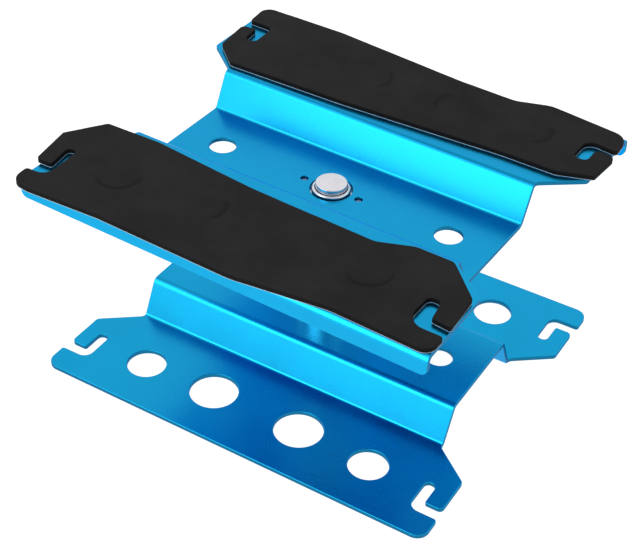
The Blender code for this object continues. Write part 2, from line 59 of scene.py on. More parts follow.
BASE_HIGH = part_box("base_plate")[1]
PAD_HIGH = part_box("foam_pad_front")[1]
TOP_LOW, TOP_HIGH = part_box("top_plate")
TUBE_LOW, TUBE_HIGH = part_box("outer_tube")
BUSH_LOW, BUSH_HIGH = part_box("guide_bush")
INNER_LOW, INNER_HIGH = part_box("inner_tube")
HUB_LOW, HUB_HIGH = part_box("turntable_spindle")
BUTTON_LOW, BUTTON_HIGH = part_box("button_cap")
SPRING_LOW, SPRING_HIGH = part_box("return_spring")

SHEET = 2.0 * MM
BEND_RADIUS = 2.5 * MM
RISER_ANGLE = math.radians(64.1)
HALF_LENGTH = BASE_HIGH.x
WEB_HALF_LENGTH = 76.0 * MM
BASE_HALF_DEPTH = BASE_HIGH.y
BASE_WEB_TOP = BASE_HIGH.z
BASE_WEB_HALF = 23.1 * MM
TOP_WEB_TOP = TOP_LOW.z + SHEET
TOP_FLANGE_TOP = TOP_HIGH.z
TOP_WEB_HALF = 23.5 * MM
TOP_HALF_DEPTH = 85.0 * MM
LIP_DROP = 9.0 * MM
SLOT_WIDTH = 4.7 * MM
SLOT_MOUTH = 5.5 * MM
FLAT_CORNER = 5.5 * MM
LIP_CORNER = 3.0 * MM
HOLE_INNER = (21.3 * MM, 56.3 * MM, 10.6 * MM)
HOLE_OUTER = (55.7 * MM, 58.0 * MM, 8.6 * MM)
WEB_HOLE_RADIUS = 5.9 * MM
BASE_WEB_HOLE_X = 56.6 * MM
TOP_WEB_HOLE_X = 55.5 * MM
NECK_HOLE_RADIUS = 11.8 * MM        # in the base web, the post's washer and its nut
TUBE_BORE = 8.8 * MM
BEZEL_HOLE = 9.0 * MM
SCREW_X = 13.3 * MM
SCREW_HOLE_RADIUS = 1.65 * MM
REST_SWIVEL = math.radians(-1.89)
SHEET_ROUND = 0.28 * MM             # broken edge of the cut sheet
PAD_ROUND = 0.5 * MM
PAD_GRID = 1.0 * MM                 # spacing of the foam's vertices
FILM_LIFT = 0.03 * MM
FILM_THICKNESS = 0.2 * MM
FILM_PROUD = 0.05 * MM              # how far the film stands out from under the foam
IMPRINT_RADIUS = 9.0 * MM
IMPRINT_DEPTH = 0.3 * MM
IMPRINT_WIDTH = 0.7 * MM
GAP = 0.3 * MM                      # clearance the solids keep to their neighbours
SEAT_GAP = 0.05 * MM                # clearance between pieces that are clamped together
AXLE_RADIUS = 6.0 * MM
SCREW_HEAD_RADIUS = 2.7 * MM
BALL_RADIUS = 2.0 * MM
BALL_ORBIT = 8.0 * MM
BALL_HEIGHT = 38.7 * MM


# ---------------------------------------------------------------- outlines

def rounded(corners, step=math.radians(9)):
    """Points of a closed outline whose corners (x, y, radius) are rounded by arcs."""
    points = []
    count = len(corners)
    for i, (x, y, radius) in enumerate(corners):
        here = Vector((x, y))
        before = (Vector(corners[i - 1][:2]) - here).normalized()
        after = (Vector(corners[(i + 1) % count][:2]) - here).normalized()
        opening = before.angle(after, math.pi)
        if radius <= 0 or opening > math.radians(178):
            points.append(here)
            continue
        reach = radius / math.tan(opening / 2)
        centre = here + (before + after).normalized() * (radius / math.sin(opening / 2))
        start = here + before * reach - centre
        sweep = math.pi - opening
        sense = 1 if before.cross(after) < 0 else -1
        parts = max(2, math.ceil(sweep / step))
        for part in range(parts + 1):
            points.append(centre + Matrix.Rotation(sense * sweep * part / parts, 2) @ start)
    return points


def circle(x, y, radius, segments=64):
    angles = (2 * math.pi * i / segments for i in range(segments))
    return [Vector((x + radius * math.cos(a), y + radius * math.sin(a))) for a in angles]


def mirrored(quarter):
    """The whole outline of a plate from its corners in the quarter with positive x and y."""
    right = quarter + [(x, -y, r) for x, y, r in reversed(quarter)]
    return right + [(-x, y, r) for x, y, r in reversed(right)]


def plate_quarter(edge, slotted):
    """Corners (x, y, radius) of a plate's plan, from the long edge at y = edge down to the web's end."""
    end = HALF_LENGTH - 0.6 * MM
    slot_in = 80.0 * MM
    slot_out = slot_in + SLOT_WIDTH
    hook_low = 53.0 * MM
    hook_top = 63.9 * MM
    mouth_top = hook_top + SLOT_MOUTH
    slot = [
        (HALF_LENGTH, mouth_top, 1.2 * MM),
        (slot_in, mouth_top, 4.3 * MM),
        (slot_in, hook_low, 2.3 * MM),
        (slot_out, hook_low, 2.3 * MM),
        (slot_out, hook_top, 1.0 * MM),
        (end, hook_top, 2.2 * MM),
    ]
    corner = [(HALF_LENGTH, edge, FLAT_CORNER if slotted else LIP_CORNER)]
    neck = [(end, 45.8 * MM, 2.5 * MM), (WEB_HALF_LENGTH, 32.8 * MM, 3.0 * MM)]
    return corner + (slot if slotted else []) + neck


def area(points):
    return sum(a.cross(b) for a, b in zip(points, points[1:] + points[:1])) / 2


def spaced(points):
    """The outline without points that fall on the one before."""
    shortest = 0.02 * MM
    return [p for i, p in enumerate(points) if (p - points[i - 1]).length > shortest]


def offset(points, inset):
    """The outline moved to its left by inset, with mitred corners."""
    sharpest = 0.35
    moved = []
    count = len(points)
    for i, here in enumerate(points):
        into = (here - points[i - 1]).normalized()
        out = (points[(i + 1) % count] - here).normalized()
        normal_in = Vector((-into.y, into.x))
        normal_out = Vector((-out.y, out.x))
        middle = (normal_in + normal_out).normalized()
        moved.append(here + middle * (inset / max(sharpest, middle.dot(normal_in))))
    return moved


def slab(outline, holes, bottom, top, edge, edge_bottom=None, parts=3):
    """A closed sheet between bottom and top whose edges are rounded by edge (edge_bottom below)."""
    support = 0.06 * MM
    edge_bottom = edge if edge_bottom is None else edge_bottom
    loops = [spaced(outline if area(outline) > 0 else outline[::-1])]
    loops += [spaced(hole if area(hole) < 0 else hole[::-1]) for hole in holes]
    levels = [(edge_bottom + support, bottom)]
    for part in range(parts + 1):
        lean = math.pi / 2 * part / parts
        levels.append((edge_bottom * (1 - math.sin(lean)), bottom + edge_bottom * (1 - math.cos(lean))))
    for part in range(parts + 1):
        lean = math.pi / 2 * part / parts
        levels.append((edge * (1 - math.cos(lean)), top - edge * (1 - math.sin(lean))))
    levels.append((edge + support, top))
    bm = bmesh.new()
    caps = ([], [])
    for loop in loops:
        rings = [[bm.verts.new((*p, z)) for p in offset(loop, inset)] for inset, z in levels]
        for lower, upper in zip(rings, rings[1:]):
            for i in range(len(loop)):
                bm.faces.new((lower[i - 1], lower[i], upper[i], upper[i - 1]))
        for cap, ring in zip(caps, (rings[0], rings[-1])):
            cap += [bm.edges.get((ring[i - 1], ring[i])) for i in range(len(ring))]
    for cap in caps:
        bmesh.ops.triangle_fill(bm, use_beauty=True, use_dissolve=False, edges=cap)
    return bm


def cut_lines(bm, axis, places):
    """Score a mesh with planes across an axis, at these places."""
    normal = Vector((0, 0, 0))
    normal[axis] = 1
    for place in places:
        everything = bm.verts[:] + bm.edges[:] + bm.faces[:]
        bmesh.ops.bisect_plane(bm, geom=everything, dist=1e-8, plane_co=normal * place, plane_no=normal)


# ---------------------------------------------------------------- pieces

def piece_from(bm, name, body, look, stands_for, sharp=40):
    """Close off a piece: normals, shading, material, body and the CAD node it stands for."""
    bmesh.ops.recalc_face_normals(bm, faces=bm.faces)
    mesh = bpy.data.meshes.new(name)
    bm.to_mesh(mesh)
    bm.free()
    mesh.shade_smooth()
    if sharp:
        mesh.set_sharp_from_angle(angle=math.radians(sharp))
    mesh.materials.append(look)
    made = bpy.data.objects.new(name, mesh)
    bpy.context.collection.objects.link(made)
    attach(made, body)
    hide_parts(stands_for)
    return made


def swivelled(bm):
    bmesh.ops.rotate(bm, verts=bm.verts, cent=(0, 0, 0), matrix=Matrix.Rotation(REST_SWIVEL, 3, "Z"))
    return bm


# ---------------------------------------------------------------- folded plates

class Fold:
    """Half a folded section: straight runs joined by bends, measured along the middle of the sheet."""

    def __init__(self, corners):
        self.pieces = []
        self.lines = []
        support = 0.12 * MM
        parts = 8
        here = Vector(corners[0])
        along = 0.0
        for i in range(1, len(corners) - 1):
            corner = Vector(corners[i])
            into = (corner - Vector(corners[i - 1])).normalized()
            out = (Vector(corners[i + 1]) - corner).normalized()
            turn = math.atan2(into.cross(out), into.dot(out))
            reach = BEND_RADIUS * math.tan(abs(turn) / 2)
            start = corner - into * reach
            run = (start - here).length
            self.pieces.append((along, run, here, into, 0.0))
            along += run
            arc = BEND_RADIUS * abs(turn)
            self.pieces.append((along, arc, start, into, turn))
            self.lines += [along - support] + [along + arc * p / parts for p in range(parts + 1)]
            along += arc
            self.lines.append(along + support)
            here = corner + out * reach
        into = (Vector(corners[-1]) - here).normalized()
        run = (Vector(corners[-1]) - here).length
        self.pieces.append((along, run, here, into, 0.0))
        self.length = along + run

    def along_at(self, y):
        """Distance along the flat pattern of the point of the flange that lies at y once folded."""
        flange = self.pieces[4]
        return flange[0] + (y - flange[2].x)

    def place(self, along, lift):
        """Folded position (y, z) of a point at a distance along the pattern, lifted off its middle."""
        side = 1 if along >= 0 else -1
        start, run, here, into, turn = [p for p in self.pieces if p[0] <= abs(along) + 1e-9][-1]
        rest = abs(along) - start
        heading = into
        spot = here + into * rest
        if turn:
            angle = turn * rest / run
            sense = 1 if turn > 0 else -1
            centre = here + Vector((-into.y, into.x)) * (run / abs(turn)) * sense
            spot = centre + Matrix.Rotation(angle, 2) @ (here - centre)
            heading = Matrix.Rotation(angle, 2) @ into
        spot = spot + Vector((-heading.y, heading.x)) * lift
        return side * spot.x, spot.y


def folded_plate(fold, quarter, holes):
    """Cut the flat pattern with broken edges, score it along the bends, mark its cut walls for painted
    shade and a rougher finish, and fold it.
    """
    bm = slab(rounded(mirrored(quarter)), holes, -SHEET / 2, SHEET / 2, SHEET_ROUND)
    cut_lines(bm, 1, [side * line for line in fold.lines for side in (1, -1)])
    # Faces that stand nearly upright (the cut walls and hole walls) are marked; the material paints them
    # darker as shade and makes them rougher.
    cut_wall_and_shade = bm.faces.layers.float.new("cut_wall_and_shade")
    upright = 0.3
    bm.normal_update()
    for face in bm.faces:
        face[cut_wall_and_shade] = 1.0 if abs(face.normal.z) < upright else 0.0
    for vert in bm.verts:
        y, z = fold.place(vert.co.y, vert.co.z)
        vert.co = (vert.co.x, y, z)
    return bm


def pattern_corners(fold, corners):
    return [(x, fold.along_at(y), r) for x, y, r in corners]


def flange_holes(fold):
    holes = []
    for x, y, radius in (HOLE_INNER, HOLE_OUTER):
        holes += [circle(sx * x, sy * fold.along_at(y), radius) for sx in (1, -1) for sy in (1, -1)]
    return holes


def riser_run(rise):
    return rise / math.tan(RISER_ANGLE)


def base_plate(look):
    middle = SHEET / 2
    foot = BASE_WEB_HALF + riser_run(BASE_WEB_TOP - SHEET)
    fold = Fold([(0, BASE_WEB_TOP - middle), (BASE_WEB_HALF, BASE_WEB_TOP - middle),
                 (foot, middle), (BASE_HALF_DEPTH, middle)])
    holes = flange_holes(fold)
    holes += [circle(side * BASE_WEB_HOLE_X, 0, WEB_HOLE_RADIUS) for side in (1, -1)]
    holes.append(circle(0, 0, NECK_HOLE_RADIUS))
    bm = folded_plate(fold, pattern_corners(fold, plate_quarter(BASE_HALF_DEPTH, slotted=True)), holes)
    piece_from(bm, "base_plate_sheet", "base", look, "base_plate")


def top_plate(look):
    middle = SHEET / 2
    shoulder = TOP_WEB_HALF + riser_run(TOP_FLANGE_TOP - TOP_WEB_TOP)
    lip = TOP_HALF_DEPTH - middle
    fold = Fold([(0, TOP_WEB_TOP - middle), (TOP_WEB_HALF, TOP_WEB_TOP - middle),
                 (shoulder, TOP_FLANGE_TOP - middle), (lip, TOP_FLANGE_TOP - middle),
                 (lip, TOP_FLANGE_TOP - LIP_DROP)])
    holes = flange_holes(fold)
    holes += [circle(side * TOP_WEB_HOLE_X, 0, WEB_HOLE_RADIUS) for side in (1, -1)]
    holes += [circle(side * SCREW_X, 0, SCREW_HOLE_RADIUS, 32) for side in (1, -1)]
    holes.append(circle(0, 0, BEZEL_HOLE))
    quarter = pattern_corners(fold, plate_quarter(TOP_HALF_DEPTH, slotted=False))
    quarter[0] = (quarter[0][0], fold.length, quarter[0][2])
    bm = swivelled(folded_plate(fold, quarter, holes))
    piece_from(bm, "top_plate_sheet", "turntable", look, "top_plate")


# ---------------------------------------------------------------- pads

FRONT_PAD = [
    (-98.3, -52.8, 1.0), (-87.6, -36.4, 2.0), (-61.0, -35.4, 30.0), (-12.0, -40.0, 30.0),
    (45.0, -41.3, 8.0), (59.5, -35.2, 8.0), (75.8, -35.1, 4.0), (91.4, -50.2, 1.5),
    (92.9, -69.0, 1.0), (84.7, -68.2, 1.0), (83.1, -58.0, 2.2), (78.0, -58.0, 2.4),
    (77.9, -74.8, 7.0), (93.2, -74.6, 1.2), (93.2, -84.4, 5.0), (52.0, -83.6, 20.0),
    (12.0, -89.6, 30.0), (-50.0, -88.8, 40.0), (-84.0, -91.0, 10.0), (-92.8, -90.0, 6.0),
    (-93.3, -80.4, 1.5), (-83.3, -80.1, 5.0), (-84.5, -60.0, 2.0), (-88.9, -60.2, 2.0),
    (-86.9, -72.8, 1.0), (-94.7, -73.1, 2.0),
]
REAR_PAD = [
    (94.6, 46.9, 1.5), (80.0, 41.2, 6.0), (55.0, 41.0, 20.0), (-19.0, 35.8, 30.0),
    (-76.2, 34.4, 3.0), (-89.0, 45.8, 2.0), (-91.2, 64.8, 2.5), (-84.0, 65.6, 1.0),
    (-83.2, 55.4, 2.2), (-77.8, 55.4, 2.2), (-78.2, 70.7, 3.5), (-91.0, 71.0, 1.5),
    (-92.6, 85.8, 5.0), (-50.0, 86.3, 30.0), (16.0, 80.5, 40.0), (42.5, 80.1, 10.0),
    (57.0, 85.3, 10.0), (94.0, 81.5, 7.0), (94.6, 68.3, 1.5), (81.0, 69.8, 4.5),
    (81.0, 55.3, 2.6), (87.0, 55.3, 2.4), (86.9, 64.7, 2.0), (95.7, 64.4, 2.5),
]
# Marks pressed into the foam: their centres, and the middle and half the width of each arc in degrees.
FRONT_IMPRINTS = [(-59.9, -63.5, 305, 60), (-20.5, -60.3, 5, 30), (52.8, -57.6, 310, 55)]
REAR_IMPRINTS = [(-18.4, 60.5, 10, 30), (23.8, 60.8, 175, 25), (58.5, 62.4, 350, 30)]


def smooth_step(value):
    value = min(1.0, max(0.0, value))
    return value * value * (3 - 2 * value)


def imprint_depth(x, y, imprints):
    """Depth of the shallow ring arcs that the sheet's holes press through the foam."""
    reach = 3 * MM
    fade_degrees = 40
    depth = 0.0
    for cx, cy, middle, half in imprints:
        away = math.hypot(x - cx * MM, y - cy * MM) - IMPRINT_RADIUS
        if abs(away) > reach:
            continue
        angle = math.degrees(math.atan2(y - cy * MM, x - cx * MM))
        beyond = abs((angle - middle + 180) % 360 - 180) - half
        fade = 1 - smooth_step(beyond / fade_degrees)
        depth += IMPRINT_DEPTH * fade * math.exp(-(away / IMPRINT_WIDTH) ** 2)
        if away < 0:
            depth += 0.1 * IMPRINT_DEPTH * fade
    return depth


def unevenness(x, y):
    """Height of the foam's skin over its mean: broad swells and small ones, at different places."""
    at = Vector((x, y, 0))
    return noise.noise(at * 45) * 0.10 * MM + noise.noise(at * 160 + Vector((7, 3, 1))) * 0.035 * MM


def pad(side, corners, imprints, foam, film):
    """A foam pad on its adhesive film, laid by hand: gently uneven, with marks sunk into it, and painted
    shade in their grooves.
    """
    outline = rounded([(x * MM, y * MM, r * MM) for x, y, r in corners], math.radians(12))
    film_low = TOP_FLANGE_TOP + FILM_LIFT
    film_high = film_low + FILM_THICKNESS
    loop = spaced(outline if area(outline) > 0 else outline[::-1])
    bm = swivelled(slab(offset(loop, -FILM_PROUD), [], film_low, film_high, 0.06 * MM, parts=1))
    piece_from(bm, "adhesive_" + side, "turntable", film, "adhesive_film_" + side)
    bottom = film_high + 0.02 * MM
    top = PAD_HIGH.z
    bm = slab(loop, [], bottom, top, PAD_ROUND, 0.15 * MM, parts=4)
    for axis in (0, 1):
        low = min(p[axis] for p in loop)
        count = math.floor((max(p[axis] for p in loop) - low) / PAD_GRID)
        cut_lines(bm, axis, [low + PAD_GRID * (i + 0.5) for i in range(count)])
    # Groove depth from 0 to 1, which the foam's material paints as shade.
    imprint_shade = bm.verts.layers.float.new("imprint_shade")
    for vert in bm.verts:
        if vert.co.z < (bottom + top) / 2:
            continue
        depth = imprint_depth(vert.co.x, vert.co.y, imprints)
        vert.co.z += unevenness(vert.co.x, vert.co.y) - 0.08 * MM - depth
        vert[imprint_shade] = min(1.0, depth / IMPRINT_DEPTH)
    made = piece_from(swivelled(bm), "foam_" + side, "turntable", foam,
                      "foam_pad_" + side, sharp=0)


# ---------------------------------------------------------------- turned pieces

def supported(points):
    """The outline with extra points close to the ends of its long runs, which keep the faces flat."""
    near = 0.05 * MM
    kept = []
    for here, after in zip(points, points[1:] + points[:1]):
        kept.append(here)
        run = after - here
        if run.length > 6 * near:
            kept += [here + run.normalized() * near, after - run.normalized() * near]
    return kept


def spun(corners, segments=128):
    """Spin a closed profile of corners (radius, height, rounding) about the post's axis."""
    bm = bmesh.new()
    rings = []
    for point in supported(rounded(corners, math.radians(30))):
        around = circle(0, 0, point.x, segments) if point.x > 1e-6 else [Vector((0, 0))]
        rings.append([bm.verts.new((*p, point.y)) for p in around])
    for lower, upper in zip(rings, rings[1:] + rings[:1]):
        if len(lower) == len(upper) == 1:
            continue
        for i in range(segments):
            square = (lower[(i - 1) % len(lower)], lower[i % len(lower)],
                      upper[i % len(upper)], upper[(i - 1) % len(upper)])
            bm.faces.new(tuple(dict.fromkeys(square)))
    for vert in [v for v in bm.verts if not v.link_faces]:
        bm.verts.remove(vert)
    bmesh.ops.recalc_face_normals(bm, faces=bm.faces)
    return bm


def bar(radius_start, radius_end, start, end):
    """A closed round or tapered bar from start to end."""
    bm = bmesh.new()
    run = Vector(end) - Vector(start)
    place = Matrix.Translation((Vector(start) + Vector(end)) / 2)
    place = place @ run.to_track_quat("Z", "Y").to_matrix().to_4x4()
    bmesh.ops.create_cone(bm, cap_ends=True, segments=48, radius1=radius_start, radius2=radius_end,
                          depth=run.length, matrix=place)
    return bm


def block(low, high):
    """A box between two corners, used only to cut with."""
    bm = bmesh.new()
    middle = (Vector(low) + Vector(high)) / 2
    size = Vector(high) - Vector(low)
    bmesh.ops.create_cube(bm, size=1, matrix=Matrix.Translation(middle) @ Matrix.Diagonal((*size, 1)))
    return bm


def loose(bm, name):
    """An object for the time of a cut."""
    mesh = bpy.data.meshes.new(name)
    bm.to_mesh(mesh)
    bm.free()
    made = bpy.data.objects.new(name, mesh)
    bpy.context.collection.objects.link(made)
    return made


def carved(bm, tools):
    """The mesh less each of the tools."""
    target = loose(bm, "carved")
    cutters = [loose(tool, "tool") for tool in tools]
    for tool in cutters:
        cut = target.modifiers.new("cut", "BOOLEAN")
        cut.operation = "DIFFERENCE"
        cut.solver = "EXACT"
        cut.object = tool
    bpy.context.view_layer.update()
    shape = target.evaluated_get(bpy.context.evaluated_depsgraph_get()).to_mesh()
    result = bmesh.new()
    result.from_mesh(shape)
    for made in cutters + [target]:
        mesh = made.data
        bpy.data.objects.remove(made, do_unlink=True)
        bpy.data.meshes.remove(mesh)
    return result


def outer_tube(look):
    """The fixed post: a neck through the base web, a wide mouth for the bush and two ball grooves."""
    neck, mouth = 11.5 * MM, 11.2 * MM
    seat = BASE_WEB_TOP + SEAT_GAP
    step = BUSH_LOW.z - GAP
    low, radius, top = TUBE_LOW.z, TUBE_HIGH.x, TUBE_HIGH.z
    tube = spun([(TUBE_BORE, low, 0.3 * MM), (neck, low, 0.5 * MM), (neck, seat, 0),
                 (radius, seat, 0.25 * MM), (radius, top, 0.7 * MM), (mouth, top, 0.2 * MM),
                 (mouth, step, 0), (TUBE_BORE, step, 0.2 * MM)])
    reach = BALL_ORBIT + BALL_RADIUS + GAP
    groove = BALL_RADIUS + 0.2 * MM
    tool = block((-reach, -groove, low - 1 * MM), (reach, groove, BALL_HEIGHT + BALL_RADIUS + 0.5 * MM))
    piece_from(carved(tube, [tool]), "post_outer", "base", look, "outer_tube", sharp=50)


def tube_fixings(look):
    """The washer and the nut that clamp the post under the base web."""
    for name, sides, edge in (("washer", 128, 0.15 * MM), ("nut", 6, 0.3 * MM)):
        low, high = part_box("tube_" + name)
        bm = slab(circle(0, 0, high.x, sides), [circle(0, 0, NECK_HOLE_RADIUS, 96)],
                  low.z, high.z + 0.2 * MM, edge)
        piece_from(bm, "post_" + name, "base", look, "tube_" + name)


def guide_bush(look):
    """The plastic bush in the post's mouth, with a collar on its rim."""
    shank = 10.9 * MM
    low, radius, top = BUSH_LOW.z, BUSH_HIGH.x, BUSH_HIGH.z
    collar = TUBE_HIGH.z + SEAT_GAP
    bm = spun([(TUBE_BORE, low, 0.2 * MM), (shank, low, 0.2 * MM), (shank, collar, 0),
               (radius, collar, 0.2 * MM), (radius, top, 0.4 * MM), (TUBE_BORE, top, 0.5 * MM)])
    piece_from(bm, "post_bush", "base", look, "guide_bush", sharp=50)


def inner_tube(look):
    """The sliding tube: a head for the turntable, a stepped bore and two seats for the balls."""
    low, top = INNER_LOW.z, INNER_HIGH.z
    bore, bore_low, radius, head = 6.3 * MM, 7.2 * MM, 8.5 * MM, INNER_HIGH.x
    under_head = top - 2.5 * MM
    ledge = 64.0 * MM
    tube = spun([(bore_low, low, 0.2 * MM), (radius, low, 0.4 * MM), (radius, under_head, 0.6 * MM),
                 (head, under_head, 0.3 * MM), (head, top, 0.3 * MM), (bore, top, 0.2 * MM),
                 (bore, ledge, 0), (bore_low, ledge, 0)])
    seat = BALL_RADIUS + 0.2 * MM
    tool = bar(seat, seat, (-head, 0, BALL_HEIGHT), (head, 0, BALL_HEIGHT))
    piece_from(carved(tube, [tool]), "post_inner", "carriage", look, "inner_tube", sharp=50)


def thrust_washer(look):
    """The washer that the turntable turns on."""
    low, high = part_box("thrust_washer")
    bm = slab(circle(0, 0, high.x, 128), [circle(0, 0, AXLE_RADIUS + GAP, 96)], low.z - 0.15 * MM,
              high.z + 0.15 * MM, 0.1 * MM)
    piece_from(bm, "post_thrust_washer", "carriage", look, "thrust_washer")


def spindle(look):
    """The turntable's hub: a flange screwed under the web, a hollow axle and the bezel of the button."""
    bezel, bezel_top = 8.2 * MM, HUB_HIGH.z
    pocket = BUTTON_HIGH.x + GAP
    pocket_floor = BUTTON_LOW.z - 2.5 * MM
    spring_bore = 4.5 * MM
    spring_floor = SPRING_LOW.z - GAP
    rod_bore = 2.9 * MM
    groove = 62.4 * MM
    flange = TOP_WEB_TOP - SHEET - GAP - 2.7 * MM
    flange_top = TOP_WEB_TOP - SHEET - SEAT_GAP
    waist = AXLE_RADIUS - 0.8 * MM
    hub = spun([(rod_bore, HUB_LOW.z, 0), (AXLE_RADIUS, HUB_LOW.z, 0.5 * MM),
                (AXLE_RADIUS, groove - 1.2 * MM, 0), (waist, groove - 1.2 * MM, 0), (waist, groove, 0),
                (AXLE_RADIUS, groove, 0), (AXLE_RADIUS, flange, 0), (HUB_HIGH.x, flange, 0.4 * MM),
                (HUB_HIGH.x, flange_top, 0.2 * MM), (bezel, flange_top, 0), (bezel, bezel_top, 0.8 * MM),
                (pocket, bezel_top, 0.25 * MM), (pocket, pocket_floor, 0), (spring_bore, pocket_floor, 0),
                (spring_bore, spring_floor, 0), (rod_bore, spring_floor, 0)])
    bore, sink = SCREW_HOLE_RADIUS, SCREW_HEAD_RADIUS + GAP
    tools = []
    for side in (-1, 1):
        x = side * SCREW_X
        tools.append(bar(bore, bore, (x, 0, flange - 1 * MM), (x, 0, TOP_WEB_TOP)))
        tools.append(bar(sink + 0.5 * MM, bore, (x, 0, flange - 0.5 * MM), (x, 0, flange + sink - bore)))
    piece_from(swivelled(carved(hub, tools)), "turntable_hub", "turntable", look,
               "turntable_spindle", sharp=50)


def hub_screws(look):
    """The two socket screws that hold the hub, countersunk from below."""
    for side, sign in (("left", -1), ("right", 1)):
        low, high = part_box("hub_screw_" + side)
        shank = SCREW_HOLE_RADIUS - 0.2 * MM
        neck = low.z + SCREW_HEAD_RADIUS - shank
        screw = spun([(0, low.z, 0), (SCREW_HEAD_RADIUS, low.z, 0.1 * MM), (shank, neck, 0),
                      (shank, high.z, 0.3 * MM), (0, high.z, 0)], 48)
        socket = slab(circle(0, 0, 0.95 * MM, 6), [], low.z - 1 * MM, low.z + 1.1 * MM, 0.01 * MM)
        bm = carved(screw, [socket])
        bmesh.ops.translate(bm, verts=bm.verts, vec=(sign * SCREW_X, 0, 0))
        piece_from(swivelled(bm), "screw_" + side, "turntable", look, "hub_screw_" + side,
                   sharp=35)


def button(look):
    """The push button: a flat turned cap with a groove round its side."""
    radius, low, top = BUTTON_HIGH.x, BUTTON_LOW.z, BUTTON_HIGH.z
    waist = radius - 0.7 * MM
    hole, hole_top = 2.9 * MM, low + 2.6 * MM
    bm = spun([(0, hole_top, 0), (hole, hole_top, 0), (hole, low, 0), (radius, low, 0),
               (radius, top - 1.8 * MM, 0.12 * MM), (waist, top - 1.7 * MM, 0.1 * MM),
               (waist, top - 1.35 * MM, 0.1 * MM), (radius, top - 1.25 * MM, 0.12 * MM),
               (radius, top, 0.32 * MM), (0, top, 0)])
    piece_from(bm, "push_button", "button", look, "button_cap", sharp=50)


def spring_coil(look):
    """The return spring, a coil of round wire, drawn at a single length."""
    wire = 0.35 * MM
    coil = (SPRING_HIGH.x - SPRING_LOW.x) / 2 - wire
    turns, per_turn, sides = 6, 32, 10
    low, high = SPRING_LOW.z + wire, SPRING_HIGH.z - wire
    bm = bmesh.new()
    rings = []
    for i in range(turns * per_turn + 1):
        angle = 2 * math.pi * i / per_turn
        outward = Vector((math.cos(angle), math.sin(angle), 0))
        centre = outward * coil + Vector((0, 0, low + (high - low) * i / (turns * per_turn)))
        leans = [2 * math.pi * j / sides for j in range(sides)]
        rings.append([bm.verts.new(centre + (outward * math.cos(a) + Vector((0, 0, math.sin(a)))) * wire)
                      for a in leans])
    for lower, upper in zip(rings, rings[1:]):
        for j in range(sides):
            bm.faces.new((lower[j - 1], lower[j], upper[j], upper[j - 1]))
    bm.faces.new(rings[0])
    bm.faces.new(rings[-1])
    made = piece_from(bm, "button_spring", "turntable", look, "return_spring")
    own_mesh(made)


# ---------------------------------------------------------------- node helpers

def new_material(name, colour, roughness, metallic=0.0):
    made = bpy.data.materials.new(name)
    made.use_nodes = True
    shader = made.node_tree.nodes["Principled BSDF"]
    shader.inputs["Base Color"].default_value = (*colour, 1)
    shader.inputs["Roughness"].default_value = roughness
    shader.inputs["Metallic"].default_value = metallic
    return made, made.node_tree, shader


def coordinates(tree):
    return tree.nodes.new("ShaderNodeTexCoord").outputs["Object"]


def split_axes(tree, vector):
    made = tree.nodes.new("ShaderNodeSeparateXYZ")
    tree.links.new(vector, made.inputs["Vector"])
    return made.outputs


def mesh_mark(tree, layer):
    """How strongly the mesh carries a mark, from 0 to 1."""
    made = tree.nodes.new("ShaderNodeAttribute")
    made.attribute_name = layer
    return made.outputs["Fac"]


def noise_node(tree, vector, scale, detail=4.0, roughness=0.55):
    made = tree.nodes.new("ShaderNodeTexNoise")
    made.inputs["Scale"].default_value = scale
    made.inputs["Detail"].default_value = detail
    made.inputs["Roughness"].default_value = roughness
    tree.links.new(vector, made.inputs["Vector"])
    return made.outputs["Fac"]


def ranged(tree, value, low, high, start=0.0, end=1.0):
    made = tree.nodes.new("ShaderNodeMapRange")
    made.inputs["From Min"].default_value = start
    made.inputs["From Max"].default_value = end
    made.inputs["To Min"].default_value = low
    made.inputs["To Max"].default_value = high
    tree.links.new(value, made.inputs["Value"])
    return made.outputs["Result"]


def connect(tree, socket, value):
    """Feed a node's socket from another node, a number or a colour."""
    if isinstance(value, bpy.types.NodeSocket):
        tree.links.new(value, socket)
    elif isinstance(value, (int, float)):
        socket.default_value = value
    else:
        socket.default_value = (*value, 1)


def two_tone(tree, factor, first, second):
    made = tree.nodes.new("ShaderNodeMix")
    made.data_type = "RGBA"
    connect(tree, made.inputs["A"], first)
    connect(tree, made.inputs["B"], second)
    tree.links.new(factor, made.inputs["Factor"])
    return made.outputs["Result"]


def add_bump(tree, shader, height, distance, strength, before=None):
    made = tree.nodes.new("ShaderNodeBump")
    made.inputs["Distance"].default_value = distance
    made.inputs["Strength"].default_value = strength
    tree.links.new(height, made.inputs["Height"])
    if before:
        tree.links.new(before, made.inputs["Normal"])
    tree.links.new(made.outputs["Normal"], shader.inputs["Normal"])
    return made.outputs["Normal"]


def combined(tree, operation, first, second):
    made = tree.nodes.new("ShaderNodeMath")
    made.operation = operation
    connect(tree, made.inputs[0], first)
    connect(tree, made.inputs[1], second)
    return made.outputs[0]


# ---------------------------------------------------------------- materials

